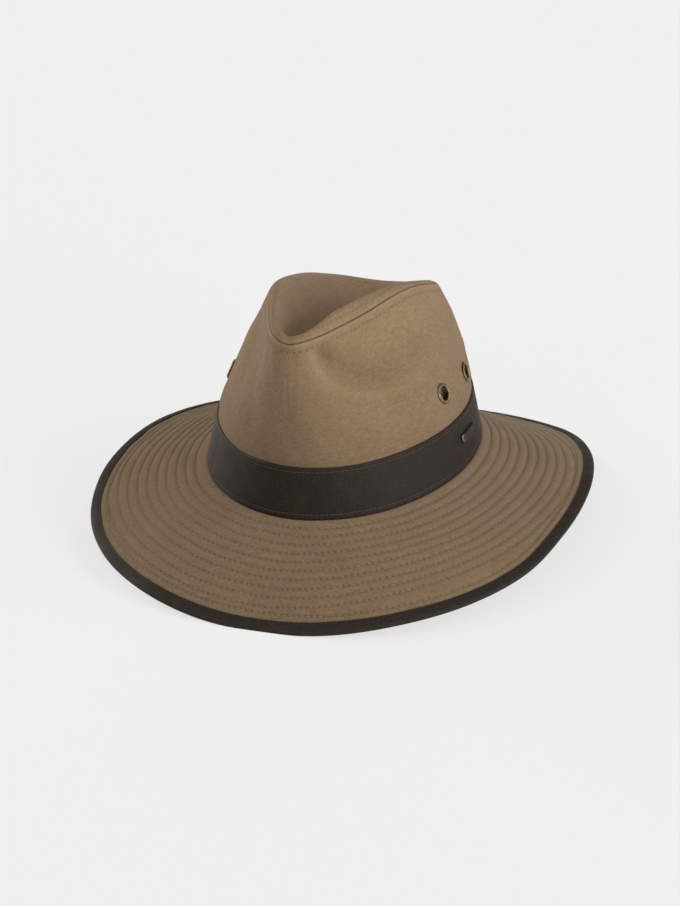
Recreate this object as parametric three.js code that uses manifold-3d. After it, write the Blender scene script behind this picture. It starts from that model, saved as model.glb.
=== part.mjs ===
// A cotton fedora with a teardrop crown, at rest on the edge of its brim.
// Millimetres, +Z up. The front of the hat faces -Y and the wearer's left is +X.
// The origin is on the floor under the middle of the head opening.
import * as THREE from "three";
import { mergeVertices } from "three/addons/utils/BufferGeometryUtils.js";
import Module from "manifold-3d";

const wasm = await Module();
wasm.setup();

// ---------- driving dimensions ----------
const ROUND = 64;             // divisions round the head
const HEAD_X = 84.2;          // crown wall at the brim, half width
const HEAD_Y = 101.2;         // crown wall at the brim, half length
const HEAD_Z = 45;            // height of the head opening above the floor
const HEAD_SIDE_LIFT = 2.5;   // the opening is this much higher at its sides
const HEAD_BACK_LIFT = 0.45;  // and a touch higher at the back than at the front
const BAND_TALL = 33;         // band, front and back
const BAND_SIDE_LESS = 2;     // the band is this much shorter at the sides
const BAND_THICK = 1.4;
const BAND_TOP = { x: 78, front: 95.7, back: 98.5, egg: 0.055 };  // crown wall at the band's top
const WALL = 2.0;             // crown cloth with its stiffening
const BRIM_THICK = 2.0;
const BRIM_EDGE_THICK = 1.2;  // pressed thinner inside the binding
const BINDING_WIDE = 8.4;
const BINDING_THICK = 1.0;
const GAP = 0.3;              // between neighbouring pieces
const CROWN_LEAN = -2.5;      // degrees: the top's crease runs a little off the centre line
const TAPER_STRAIGHT = 0.23;  // this share of the wall's draw-in goes evenly with height
const PINCH = { at: 43, wide: 15, up: 0.66, tall: 0.34, deep: 5.0 };  // up and tall as shares of the wall above the band
const EYELET = { outer: 7, hole: 4, barrel: 4.6, cut: 5.0, stands: 1.2 };
const PLATE = { long: 22, tall: 5, thick: 1.0, y: -1, z: 65 };

// The brim, by angle from the front: how far its edge reaches out from the band,
// how high the edge is above the floor, and how steeply it falls there, in degrees.
const BRIM_ROWS = [
  { at: 0, reach: 59.9, edge: -0.9, falls: 42.5 },
  { at: 15, reach: 64.2, edge: 1.9, falls: 40.5 },
  { at: 30, reach: 70.3, edge: 7.6, falls: 35 },
  { at: 45, reach: 74.8, edge: 12.3, falls: 27.5 },
  { at: 60, reach: 76.3, edge: 17.2, falls: 19.5 },
  { at: 75, reach: 73.8, edge: 23.5, falls: 13.5 },
  { at: 90, reach: 71.6, edge: 25.2, falls: 11 },
  { at: 105, reach: 71.2, edge: 23.9, falls: 12 },
  { at: 120, reach: 72.4, edge: 18.3, falls: 13 },
  { at: 135, reach: 73.8, edge: 10.6, falls: 12 },
  { at: 150, reach: 67.7, edge: 4.9, falls: 11 },
  { at: 165, reach: 63, edge: 0.4, falls: 24 },
  { at: 180, reach: 60.1, edge: -0.2, falls: 36 },
];

// The seam round the crown's top, by angle from the front towards +X, once round:
// how far to the wearer's left, how far forward of the middle, and height above the
// floor. The crown is shaped by hand, and its left shoulder stands a little fuller.
const SEAM_ROWS = [
  { at: 0, left: 0, fore: 82.5, high: 151.1 },
  { at: 15, left: 8.8, fore: 79.7, high: 152.3 },
  { at: 30, left: 16.5, fore: 69.8, high: 153.2 },
  { at: 45, left: 23.9, fore: 54.3, high: 154.1 },
  { at: 60, left: 32, fore: 33.2, high: 155.2 },
  { at: 75, left: 39.4, fore: 12.3, high: 157.4 },
  { at: 90, left: 44.4, fore: -7.2, high: 156.7 },
  { at: 105, left: 47.3, fore: -27.6, high: 151.2 },
  { at: 120, left: 48, fore: -47.7, high: 143.9 },
  { at: 150, left: 33.2, fore: -70.7, high: 133.1 },
  { at: 180, left: 0, fore: -77.5, high: 127.8 },
  { at: 210, left: -30.8, fore: -69.6, high: 132.2 },
  { at: 240, left: -43.9, fore: -45.7, high: 140.8 },
  { at: 255, left: -43.9, fore: -25.8, high: 147.2 },
  { at: 270, left: -42.2, fore: -5.9, high: 152.9 },
  { at: 285, left: -39.1, fore: 13, high: 156.5 },
  { at: 300, left: -31.9, fore: 33.2, high: 156.4 },
  { at: 315, left: -23.9, fore: 53.9, high: 155.2 },
  { at: 330, left: -16.3, fore: 69.2, high: 154 },
  { at: 345, left: -8.7, fore: 79.4, high: 152.8 },
];

// How late the wall above the band draws in to the seam, by angle from the front.
const TAPER_ROWS = [
  { at: 0, power: 1.32 },
  { at: 45, power: 1.25 },
  { at: 90, power: 1.28 },
  { at: 112, power: 1.65 },
  { at: 135, power: 2.5 },
  { at: 180, power: 3.65 },
];

// How high the tip's cloth rolls between its seam and the crease, by angle from the front
// towards +X, once round. The roll is fuller on the wearer's left.
const RIDGE_ROWS = [
  { at: 0, high: 7.3 },
  { at: 15, high: 8 },
  { at: 30, high: 11.2 },
  { at: 45, high: 11.8 },
  { at: 60, high: 11.7 },
  { at: 75, high: 8.1 },
  { at: 90, high: 5.8 },
  { at: 110, high: 3.7 },
  { at: 140, high: 2.3 },
  { at: 180, high: 2.9 },
  { at: 220, high: 2.3 },
  { at: 250, high: 3.7 },
  { at: 275, high: 5.1 },
  { at: 300, high: 6.8 },
  { at: 330, high: 7.8 },
];

// The crease along the middle of the tip, front to back.
const CREASE_ROWS = [
  { fore: 62, high: 134.4 },
  { fore: 35, high: 127.4 },
  { fore: 0, high: 125.4 },
  { fore: -30, high: 125.4 },
  { fore: -52, high: 127.4 },
];

// ---------- small helpers ----------
const rad = (d) => (d * Math.PI) / 180;
const mix = (a, b, t) => a + (b - a) * t;
const clamp = (v, a, b) => Math.min(b, Math.max(a, v));
const ease = (t) => t * t * (3 - 2 * t);
const vec = (x, y, z) => new THREE.Vector3(x, y, z);

// Smooth curve through [angle, value] pairs that go once round.
function smoothLoop(all) {
  const n = all.length;
  const at = (i) => all[((i % n) + n) % n][0] + 360 * Math.floor(i / n);
  const val = (i) => all[((i % n) + n) % n][1];
  const slope = (i) => (val(i + 1) - val(i - 1)) / (at(i + 1) - at(i - 1));
  return (deg) => {
    const d = ((deg % 360) + 360) % 360;
    let i = 0;
    while (i < n - 1 && at(i + 1) <= d) i++;
    const h = at(i + 1) - at(i);
    const t = (d - at(i)) / h;
    const t2 = t * t;
    const t3 = t2 * t;
    return val(i) * (2 * t3 - 3 * t2 + 1) + slope(i) * h * (t3 - 2 * t2 + t)
      + val(i + 1) * (3 * t2 - 2 * t3) + slope(i + 1) * h * (t3 - t2);
  };
}

// The same through a table of one side, even about the middle plane.
function smoothSides(rows, key) {
  const back = rows.slice(1, -1).reverse();
  return smoothLoop([...rows.map((r) => [r.at, r[key]]), ...back.map((r) => [360 - r.at, r[key]])]);
}

const smoothRound = (rows, key) => smoothLoop(rows.map((r) => [r.at, r[key]]));

function alongCrease(fore) {
  const r = CREASE_ROWS;
  if (fore >= r[0].fore) return r[0].high;
  for (let i = 0; i < r.length - 1; i++) {
    if (fore >= r[i + 1].fore) {
      const t = (r[i].fore - fore) / (r[i].fore - r[i + 1].fore);
      return mix(r[i].high, r[i + 1].high, ease(t));
    }
  }
  return r[r.length - 1].high;
}

const brimReach = smoothSides(BRIM_ROWS, "reach");
const brimEdge = smoothSides(BRIM_ROWS, "edge");
const brimFalls = smoothSides(BRIM_ROWS, "falls");
const seamLeft = smoothRound(SEAM_ROWS, "left");
const seamFore = smoothRound(SEAM_ROWS, "fore");
const seamHigh = smoothRound(SEAM_ROWS, "high");
const taperPower = smoothSides(TAPER_ROWS, "power");
const ridgeHigh = smoothRound(RIDGE_ROWS, "high");

const headZ = (deg) => HEAD_Z + HEAD_SIDE_LIFT * Math.sin(rad(deg)) ** 2 - HEAD_BACK_LIFT * Math.cos(rad(deg));
const bandTall = (deg) => BAND_TALL - BAND_SIDE_LESS * Math.sin(rad(deg)) ** 2;

// Straight out from the head, level, at an angle.
const outward = (deg) => vec(Math.sin(rad(deg)) / HEAD_X, -Math.cos(rad(deg)) / HEAD_Y, 0).normalize();

// ---------- the crown's surfaces ----------
function footPoint(deg) {
  return vec(HEAD_X * Math.sin(rad(deg)), -HEAD_Y * Math.cos(rad(deg)), headZ(deg));
}

function bandTopPoint(deg) {
  const s = Math.sin(rad(deg));
  const c = Math.cos(rad(deg));
  return vec(BAND_TOP.x * s * (1 - BAND_TOP.egg * c), -(c > 0 ? BAND_TOP.front : BAND_TOP.back) * c,
    headZ(deg) + bandTall(deg));
}

function leaning(x, y, z) {
  const c = Math.cos(rad(CROWN_LEAN));
  const s = Math.sin(rad(CROWN_LEAN));
  return vec(c * x - s * y, s * x + c * y, z);
}

const seamPoint = (deg) => leaning(seamLeft(deg), -seamFore(deg), seamHigh(deg));

// up runs from 0 at the brim through 1 at the band's top to 2 at the seam.
function wallPoint(deg, up) {
  const top = bandTopPoint(deg);
  if (up <= 1) return footPoint(deg).lerp(top, up);
  const u = up - 1;
  const g = TAPER_STRAIGHT * u + (1 - TAPER_STRAIGHT) * u ** taperPower(deg);
  const seam = seamPoint(deg);
  const p = vec(mix(top.x, seam.x, g), mix(top.y, seam.y, g), mix(top.z, seam.z, u));
  const side = ((deg + 180) % 360 + 360) % 360 - 180;
  let push = 0;
  for (const sign of [-1, 1]) {
    push += Math.exp(-(((side - sign * PINCH.at) / PINCH.wide) ** 2));
  }
  push *= PINCH.deep * Math.max(0, 1 - ((u - PINCH.up) / PINCH.tall) ** 2) ** 2;
  return p.addScaledVector(outward(deg), -push);
}

const ROLL_SCALE = 27 / 4;    // brings the roll's highest place, a third of the way in, to 1
// in runs from 0 at the seam to 1 on the crease line.
function tipPoint(deg, into) {
  const seam = seamPoint(deg);
  const first = CREASE_ROWS[0].fore;
  const last = CREASE_ROWS[CREASE_ROWS.length - 1].fore;
  const fore = clamp(seamFore(deg), last, first);
  const crease = leaning(0, -fore, alongCrease(fore));
  const far = Math.hypot(seam.x - crease.x, seam.y - crease.y);
  const p = seam.clone().lerp(crease, into);
  p.z = mix(seam.z, crease.z, ease(into))
    + ridgeHigh(deg) * ROLL_SCALE * into * (1 - into) ** 2 * Math.min(1, far / 25);
  return p;
}

// Normal of a surface given as point(deg, v), by small steps.
function normalOf(point, deg, v, dv, flip) {
  const a = point(deg + 1, v).sub(point(deg - 1, v));
  const b = point(deg, v + dv).sub(point(deg, v - dv));
  return a.cross(b).normalize().multiplyScalar(flip);
}

// ---------- solids from rings ----------
// Each ring is a closed loop of points; the rings follow one another round the
// cloth's section, and the last joins the first.
function loftRings(rings) {
  const n = rings[0].length;
  const pos = [];
  const idx = [];
  for (const r of rings) for (const p of r) pos.push(p.x, p.y, p.z);
  for (let i = 0; i < rings.length; i++) {
    const next = (i + 1) % rings.length;
    const a = i * n;
    const b = next * n;
    for (let j = 0; j < n; j++) {
      const k = (j + 1) % n;
      // each four-sided facet is split along its shorter diagonal
      if (rings[i][j].distanceTo(rings[next][k]) <= rings[i][k].distanceTo(rings[next][j])) {
        idx.push(a + j, a + k, b + k, a + j, b + k, b + j);
      } else {
        idx.push(a + j, a + k, b + j, a + k, b + k, b + j);
      }
    }
  }
  return solid(pos, idx);
}

function solid(pos, idx) {
  const g = new THREE.BufferGeometry();
  g.setAttribute("position", new THREE.Float32BufferAttribute(pos, 3));
  g.setIndex(idx);
  if (volumeOf(g) < 0) {
    for (let i = 0; i < idx.length; i += 3) [idx[i + 1], idx[i + 2]] = [idx[i + 2], idx[i + 1]];
    g.setIndex(idx);
  }
  return g;
}

function volumeOf(g) {
  const p = g.getAttribute("position");
  const ix = g.getIndex();
  const a = vec(), b = vec(), c = vec();
  let v = 0;
  for (let i = 0; i < ix.count; i += 3) {
    a.fromBufferAttribute(p, ix.getX(i));
    b.fromBufferAttribute(p, ix.getX(i + 1));
    c.fromBufferAttribute(p, ix.getX(i + 2));
    v += a.dot(b.cross(c));
  }
  return v / 6;
}

const degs = Array.from({ length: ROUND }, (_, i) => (360 * i) / ROUND);
const ring = (fn) => degs.map(fn);

function toManifold(geometry) {
  const g = geometry.clone();
  g.deleteAttribute("normal");
  g.deleteAttribute("uv");
  const m = mergeVertices(g, 1e-4);
  return new wasm.Manifold(new wasm.Mesh({
    numProp: 3,
    vertProperties: new Float32Array(m.getAttribute("position").array),
    triVerts: new Uint32Array(m.getIndex().array),
  }));
}

function fromManifold(man) {
  const m = man.getMesh();
  const g = new THREE.BufferGeometry();
  g.setAttribute("position", new THREE.Float32BufferAttribute(Array.from(m.vertProperties), 3));
  g.setIndex(Array.from(m.triVerts));
  return g;
}

// ---------- crown wall ----------
const SEAM_CLEAR = 0.2;       // wall and tip each stop this far from the seam line
const WALL_UPS = [0, 0.5, 1, 1.12, 1.25, 1.38, 1.5, 1.6, 1.7, 1.79, 1.87, 1.94, 2];

function wallNormal(deg, up) {
  const n = normalOf(wallPoint, deg, clamp(up, 0.1, 1.95), 0.04, 1);
  const out = vec(Math.sin(rad(deg)), -Math.cos(rad(deg)), 0.3);
  if (n.dot(out) < 0) n.negate();
  if (up < 0.01) n.setZ(0).normalize();
  return n;
}

function tipNormal(deg, into) {
  const n = normalOf(tipPoint, deg, clamp(into, 0.06, 0.9), 0.05, 1);
  return n.z < 0 ? n.negate() : n;
}

// Both cloths end at the seam on one mitred face: this runs from outside to inside.
function seamMitre(deg) {
  const m = wallNormal(deg, 1.95).add(tipNormal(deg, 0.06));
  const half = m.length() / 2;
  return m.normalize().multiplyScalar(-WALL / half);
}

function wallOut(deg, up) {
  if (up < 2) return wallPoint(deg, up);
  const long = wallPoint(deg, 2).distanceTo(wallPoint(deg, 1.9)) * 10;
  return wallPoint(deg, 2 - SEAM_CLEAR / long);
}

function wallIn(deg, up, depth) {
  if (up >= 2) return wallOut(deg, up).add(seamMitre(deg));
  return wallPoint(deg, up).addScaledVector(wallNormal(deg, up), -depth);
}

function crownSide() {
  const rings = WALL_UPS.map((up) => ring((d) => wallOut(d, up)));
  const inner = [...WALL_UPS].reverse().filter((up, i) => i % 2 === 0 || up < 0.01);
  for (const up of inner) rings.push(ring((d) => wallIn(d, up, WALL)));
  return loftRings(rings);
}

// ---------- crown tip ----------
const TIP_INTO = [0, 0.1, 0.2, 0.32, 0.46, 0.62, 0.78, 0.9];

function tipOut(deg, into) {
  if (into > 0) return tipPoint(deg, into);
  const long = tipPoint(deg, 0).distanceTo(tipPoint(deg, 0.1)) * 10;
  return tipPoint(deg, SEAM_CLEAR / long);
}

function tipUnder(deg, into) {
  if (into === 0) return tipOut(deg, 0).add(seamMitre(deg));
  const n = tipNormal(deg, into);
  n.z = Math.max(n.z, 0.6);
  n.normalize();
  return tipPoint(deg, into).addScaledVector(n, -WALL);
}

// A sheet closed over the crease: rings on top, one strip along the crease, and the same below.
function crownTip() {
  const topRings = TIP_INTO.map((t) => ring((d) => tipOut(d, t)));
  const underRings = TIP_INTO.map((t) => ring((d) => tipUnder(d, t)));
  const pos = [];
  const idx = [];
  const put = (p) => { pos.push(p.x, p.y, p.z); return pos.length / 3 - 1; };
  const topIds = topRings.map((r) => r.map(put));
  const underIds = underRings.map((r) => r.map(put));
  const strip = (a, b) => {
    for (let j = 0; j < ROUND; j++) {
      const k = (j + 1) % ROUND;
      idx.push(a[j], b[k], a[k], a[j], b[j], b[k]);
    }
  };
  for (let i = 0; i < topIds.length - 1; i++) strip(topIds[i + 1], topIds[i]);
  for (let i = 0; i < underIds.length - 1; i++) strip(underIds[i], underIds[i + 1]);
  strip(topIds[0], underIds[0]);
  // the last narrow loop is zipped across, left side to right side
  const zip = (ids, up) => {
    for (let j = 0; j < ROUND / 2; j++) {
      const a = ids[j], b = ids[j + 1];
      const c = ids[(ROUND - j) % ROUND], d = ids[ROUND - j - 1];
      const tris = [];
      if (a !== c) tris.push([a, b, c]);
      if (b !== d) tris.push([b, d, c]);
      for (const t of tris) idx.push(...(up ? t : [t[0], t[2], t[1]]));
    }
  };
  zip(topIds[topIds.length - 1], true);
  zip(underIds[underIds.length - 1], false);
  return solid(pos, idx);
}

// ---------- brim ----------
// s runs from 0 at the foot of the band to 1 at the brim's edge.
function brimPoint(deg, s) {
  const sx = Math.sin(rad(deg));
  const c = Math.cos(rad(deg));
  const out = vec(sx / (HEAD_X + 1.8), -c / (HEAD_Y + 1.8), 0).normalize();
  const x0 = (HEAD_X + 1.8) * sx;
  const y0 = -(HEAD_Y + 1.8) * c;
  const z0 = headZ(deg);
  const z1 = brimEdge(deg);
  const w = brimReach(deg);
  const drop = z0 - z1;
  const endSlope = Math.tan(rad(brimFalls(deg))) * w;
  const a = 2 * drop - endSlope;
  const z = z0 - a * s - (drop - a) * s * s;
  return vec(x0 + out.x * w * s, y0 + out.y * w * s, z);
}

function brimNormal(deg, s) {
  const n = normalOf(brimPoint, deg, s, 0.02, 1);
  if (n.z < 0) n.negate();
  return n;
}

// A point at distance off above (or below) the brim's middle surface.
const brimOff = (deg, s, off) => brimPoint(deg, s).addScaledVector(brimNormal(deg, s), off);
const brimSlant = (deg) => Math.hypot(brimReach(deg), headZ(deg) - brimEdge(deg));
const bindFrom = (deg) => 1 - BINDING_WIDE / brimSlant(deg);
const FLOOR = (p) => { p.z = Math.max(p.z, 0); return p; };

function brimTopInner(deg) {
  // the brim runs in under the crown wall and stops flush with its inside
  return footPoint(deg).addScaledVector(outward(deg), -WALL);
}

const BRIM_DOWN = 0.3 + BRIM_THICK / 2;   // the brim's middle surface lies this far under the crown's foot

function brimSolid() {
  const ss = [0.06, 0.2, 0.36, 0.52, 0.68, 0.82];
  const half = BRIM_THICK / 2;
  const thin = BRIM_EDGE_THICK / 2;
  const edge = (deg) => 1 - 2.2 / brimReach(deg);
  const rings = [];
  const low = (p, d) => { p.z -= d; return p; };
  rings.push(ring((d) => low(brimTopInner(d), GAP)));
  for (const s of ss) rings.push(ring((d) => low(brimOff(d, s * bindFrom(d), half), sink(s))));
  rings.push(ring((d) => brimOff(d, bindFrom(d) - 0.012, half)));
  rings.push(ring((d) => brimOff(d, bindFrom(d) + 0.004, thin)));
  rings.push(ring((d) => brimOff(d, edge(d), thin)));
  rings.push(ring((d) => brimOff(d, edge(d), -thin)));
  rings.push(ring((d) => brimOff(d, bindFrom(d) + 0.004, -thin)));
  rings.push(ring((d) => brimOff(d, bindFrom(d) - 0.012, -half)));
  for (const s of [...ss].reverse().filter((_, i) => i % 2 === 0)) {
    rings.push(ring((d) => low(brimOff(d, s * bindFrom(d), -half), sink(s))));
  }
  rings.push(ring((d) => low(brimTopInner(d), GAP + BRIM_THICK)));
  return loftRings(rings);
}

// near the band the middle surface dips so that the brim's top passes under the band
function sink(s) {
  return BRIM_DOWN * (1 - ease(clamp(s / 0.9, 0, 1)));
}

// ---------- binding ----------
function bindingSolid() {
  const thin = BRIM_EDGE_THICK / 2;
  const inner = thin + GAP;
  const outer = inner + BINDING_THICK;
  const from = (d) => bindFrom(d) + 0.012;
  const toIn = (d) => 1 - (2.2 - GAP) / brimReach(d) ;
  const rings = [
    ring((d) => FLOOR(brimOff(d, from(d), outer))),
    ring((d) => FLOOR(brimOff(d, (from(d) + 1) / 2, outer))),
    ring((d) => FLOOR(brimOff(d, 1 - 1.6 / brimReach(d), outer))),
    ring((d) => FLOOR(brimOff(d, 1 - 0.4 / brimReach(d), inner))),
    ring((d) => FLOOR(brimOff(d, 1, 0))),
    ring((d) => FLOOR(brimOff(d, 1 - 0.4 / brimReach(d), -inner))),
    ring((d) => FLOOR(brimOff(d, 1 - 1.6 / brimReach(d), -outer))),
    ring((d) => FLOOR(brimOff(d, (from(d) + 1) / 2, -outer))),
    ring((d) => FLOOR(brimOff(d, from(d), -outer))),
    ring((d) => FLOOR(brimOff(d, from(d), -inner))),
    ring((d) => FLOOR(brimOff(d, toIn(d), -inner))),
    ring((d) => FLOOR(brimOff(d, toIn(d), inner))),
    ring((d) => FLOOR(brimOff(d, from(d), inner))),
  ];
  return loftRings(rings);
}

// ---------- band ----------
function bandSolid() {
  const off = (d, up, far) => {
    const p = wallIn(d, up, 0);
    return p.addScaledVector(outward(d), far);
  };
  const near = GAP + 0.1;
  const rings = [];
  for (const up of [0, 0.5, 0.97]) rings.push(ring((d) => off(d, up, near + BAND_THICK)));
  for (const up of [0.97, 0.5, 0]) rings.push(ring((d) => off(d, up, near)));
  return loftRings(rings);
}

// ---------- eyelets ----------
const EYELET_ROWS = [
  { name: "left_front", side: 1, y: -12.7, z: 95.6 },
  { name: "left_back", side: 1, y: 27, z: 93 },
  { name: "right_front", side: -1, y: -12.5, z: 97.2 },
  { name: "right_back", side: -1, y: 27, z: 94 },
];

// Where the wall passes through a given y and z, on the wearer's left (side 1) or right (-1).
function wallAt(y, z, side) {
  let deg = 90 * side;
  let up = 1.2;
  for (let i = 0; i < 60; i++) {
    const p = wallPoint(deg, up);
    deg += (y - p.y) * 0.5 * side;
    up += (z - p.z) * 0.008;
  }
  return { deg, up };
}

function eyeletFrame(row) {
  const at = wallAt(row.y, row.z, row.side);
  const n = normalOf(wallPoint, at.deg, at.up, 0.04, 1);
  if (n.x * row.side < 0) n.negate();
  return { p: wallPoint(at.deg, at.up), n };
}

function eyeletGeometry() {
  // section: flange outside, barrel through the wall, rolled end inside
  const E = EYELET;
  const prof = [
    [E.hole, -3.2], [E.barrel, -3.2], [E.barrel, 0.7], [E.outer - 0.3, 0.7], [E.outer, 1.0],
    [E.outer - 0.9, 1.5], [E.outer - 2.0, 1.9], [E.hole + 0.5, 1.6], [E.hole, 1.0], [E.hole, -3.2],
  ].map(([r, h]) => new THREE.Vector2(r, h));
  const g = new THREE.LatheGeometry(prof, 22);
  g.rotateX(Math.PI / 2);
  return g;
}

function place(mesh, frame) {
  mesh.position.copy(frame.p);
  mesh.quaternion.setFromUnitVectors(vec(0, 0, 1), frame.n);
  return mesh;
}

// ---------- plate ----------
function plateSolid() {
  const P = PLATE;
  const cols = 6;
  const pos = [];
  const idx = [];
  const at = (y, z, far) => {
    const w = wallAtBand(y, z);
    return w.p.addScaledVector(w.n, far);
  };
  const near = GAP + 0.1 + BAND_THICK + 0.35;
  const loops = [];
  for (let i = 0; i <= cols; i++) {
    const y = P.y - P.long / 2 + (P.long * i) / cols;
    loops.push([at(y, P.z - P.tall / 2, near), at(y, P.z + P.tall / 2, near),
      at(y, P.z + P.tall / 2, near + P.thick), at(y, P.z - P.tall / 2, near + P.thick)]);
  }
  for (const l of loops) for (const p of l) pos.push(p.x, p.y, p.z);
  for (let i = 0; i < cols; i++) {
    for (let j = 0; j < 4; j++) {
      const a = i * 4 + j, b = i * 4 + ((j + 1) % 4);
      idx.push(a, b, b + 4, a, b + 4, a + 4);
    }
  }
  idx.push(0, 2, 1, 0, 3, 2);
  const e = cols * 4;
  idx.push(e, e + 1, e + 2, e, e + 2, e + 3);
  return solid(pos, idx);
}

function wallAtBand(y, z) {
  let deg = 90;
  let up = 0.5;
  for (let i = 0; i < 60; i++) {
    const p = wallPoint(deg, up);
    deg += (y - p.y) * 0.5;
    up += (z - p.z) * 0.02;
  }
  const n = normalOf(wallPoint, deg, up, 0.04, 1);
  if (n.x < 0) n.negate();
  return { p: wallPoint(deg, up), n };
}

// ---------- materials ----------
const khaki = new THREE.MeshStandardMaterial({ color: 0x937b60, roughness: 0.9, metalness: 0 });
const brimKhaki = new THREE.MeshStandardMaterial({ color: 0x7c6a54, roughness: 0.9, metalness: 0 });
const darkCloth = new THREE.MeshStandardMaterial({ color: 0x352f29, roughness: 0.7, metalness: 0 });
const brass = new THREE.MeshStandardMaterial({ color: 0x6e5a33, roughness: 0.4, metalness: 0.9 });
const darkMetal = new THREE.MeshStandardMaterial({ color: 0x3a332a, roughness: 0.45, metalness: 0.8 });

// ---------- the hat ----------
const hat = new THREE.Group();
const add = (geometry, material, name) => {
  const mesh = new THREE.Mesh(geometry, material);
  mesh.name = name;
  hat.add(mesh);
  return mesh;
};

let side = toManifold(crownSide());
const eyelets = [];
for (const row of EYELET_ROWS) {
  const frame = eyeletFrame(row);
  const drill = new THREE.CylinderGeometry(EYELET.cut, EYELET.cut, 16, 20).rotateX(Math.PI / 2);
  const cutter = place(new THREE.Mesh(drill), frame);
  cutter.updateMatrixWorld(true);
  const cut = drill.clone().applyMatrix4(cutter.matrixWorld);
  side = side.subtract(toManifold(cut));
  eyelets.push({ name: `eyelet_${row.name}`, frame });
}
add(fromManifold(side), khaki, "crown_side");
add(crownTip(), khaki, "crown_tip");
add(brimSolid(), brimKhaki, "brim");
add(bindingSolid(), darkCloth, "brim_binding");
add(bandSolid(), darkCloth, "hat_band");
for (const e of eyelets) place(add(eyeletGeometry(), brass, e.name), e.frame);
add(plateSolid(), darkMetal, "band_plate");

export default hat;
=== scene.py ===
"""Looks of a cotton fedora with a teardrop crown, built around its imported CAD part.

Shapes are worked out in millimetres, in the part's frame: +Z up, the front of the hat
faces -Y, the wearer's left is +X, and angles run from the front towards +X.
"""

import math

import bpy
import numpy as np
from mathutils import Matrix, Vector


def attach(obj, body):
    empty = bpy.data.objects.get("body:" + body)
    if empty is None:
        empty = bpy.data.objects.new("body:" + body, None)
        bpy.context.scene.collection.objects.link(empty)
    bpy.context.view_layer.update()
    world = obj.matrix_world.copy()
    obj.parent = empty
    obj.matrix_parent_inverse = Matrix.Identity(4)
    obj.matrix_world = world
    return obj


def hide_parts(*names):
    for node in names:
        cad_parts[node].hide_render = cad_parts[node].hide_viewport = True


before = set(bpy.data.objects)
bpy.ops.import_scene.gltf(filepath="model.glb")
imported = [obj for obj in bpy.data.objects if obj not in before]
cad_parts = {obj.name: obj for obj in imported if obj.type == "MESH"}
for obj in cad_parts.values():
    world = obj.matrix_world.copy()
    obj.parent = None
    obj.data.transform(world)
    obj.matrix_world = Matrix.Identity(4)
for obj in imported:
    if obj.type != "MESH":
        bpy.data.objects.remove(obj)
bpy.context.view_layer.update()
MM = 0.001

# ---- dimensions ----
# the head opening at the brim: half its width, half its length, its height
HEAD_X, HEAD_Y, HEAD_Z = 84.2, 101.2, 45.0
HEAD_SIDE_RISE, HEAD_FRONT_FALL = 2.5, 0.45   # how its height changes round the head
BAND_TALL, BAND_SIDE_LESS = 33.0, 2.0
BAND_THICK = 1.4
# the crown at the band's top: half its width, its reach forward and back, how egg-shaped it is
BAND_TOP_X, BAND_TOP_FRONT, BAND_TOP_BACK, BAND_TOP_EGG = 78.0, 95.7, 98.5, 0.055
WALL = 2.0                    # the crown's cloth
GAP = 0.3                     # between the crown's wall and the brim's top under it
BRIM_THICK = 2.0
BRIM_EDGE_THICK = 1.2         # under the binding
BRIM_OUT = 1.8                # the brim's middle starts this far outside the head opening
BINDING_WIDE = 8.4
CROWN_LEAN = -2.5             # how far the crown's top is turned, in degrees
TAPER_STRAIGHT = 0.23         # share of the wall's draw-in that runs straight
# the pinch on both sides of the front: its angle, half width, place up the wall, half height, depth
PINCH_AT, PINCH_WIDE, PINCH_UP, PINCH_TALL, PINCH_DEEP = 43.0, 15.0, 0.66, 0.34, 5.0
# a soft valley runs round this angle and height on the wall, this far from it both ways
VALLEY_AT, VALLEY_TOP, VALLEY_WIDE, VALLEY_TALL = 62.0, 1.95, 34.0, 0.43
VALLEY_DEEP_LEFT, VALLEY_DEEP_RIGHT = 5.0, 2.4
ROLL_SCALE = 27 / 4           # makes the tallest point of a roll its given height
ROLL_FULL_FROM = 25.0         # where the tip is narrower than this, the roll is lower
# the plate's size, and its middle's place
PLATE_LONG, PLATE_TALL, PLATE_THICK, PLATE_Y, PLATE_Z = 22.0, 5.0, 1.0, -1.0, 65.0

# angle from the front, how far the brim's edge reaches out, its height, its fall in degrees
BRIM = [
    (0, 59.9, -0.9, 42.5), (15, 64.2, 1.9, 40.5), (30, 70.3, 7.6, 35.0),
    (45, 74.8, 12.3, 27.5), (60, 76.3, 17.2, 19.5), (75, 73.8, 23.5, 13.5),
    (90, 71.6, 25.2, 11.0), (105, 71.2, 23.9, 12.0), (120, 72.4, 18.3, 13.0),
    (135, 73.8, 10.6, 12.0), (150, 67.7, 4.9, 11.0), (165, 63.0, 0.4, 24.0),
    (180, 60.1, -0.2, 36.0),
]
# once round the seam at the crown's top: angle, how far left, how far forward, height
SEAM = [
    (0, 0, 82.5, 151.1), (15, 8.8, 79.7, 152.3), (30, 16.5, 69.8, 153.2),
    (45, 23.9, 54.3, 154.1), (60, 32, 33.2, 155.2), (75, 39.4, 12.3, 157.4),
    (90, 44.4, -7.2, 156.7), (105, 47.3, -27.6, 151.2), (120, 48, -47.7, 143.9),
    (150, 33.2, -70.7, 133.1), (180, 0, -77.5, 127.8), (210, -30.8, -69.6, 132.2),
    (240, -43.9, -45.7, 140.8), (255, -43.9, -25.8, 147.2), (270, -42.2, -5.9, 152.9),
    (285, -39.1, 13, 156.5), (300, -31.9, 33.2, 156.4), (315, -23.9, 53.9, 155.2),
    (330, -16.3, 69.2, 154), (345, -8.7, 79.4, 152.8),
]
# angle, how late the wall draws in to the seam
TAPER = [(0, 1.32), (45, 1.25), (90, 1.28), (112, 1.65), (135, 2.5), (180, 3.65)]
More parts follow.
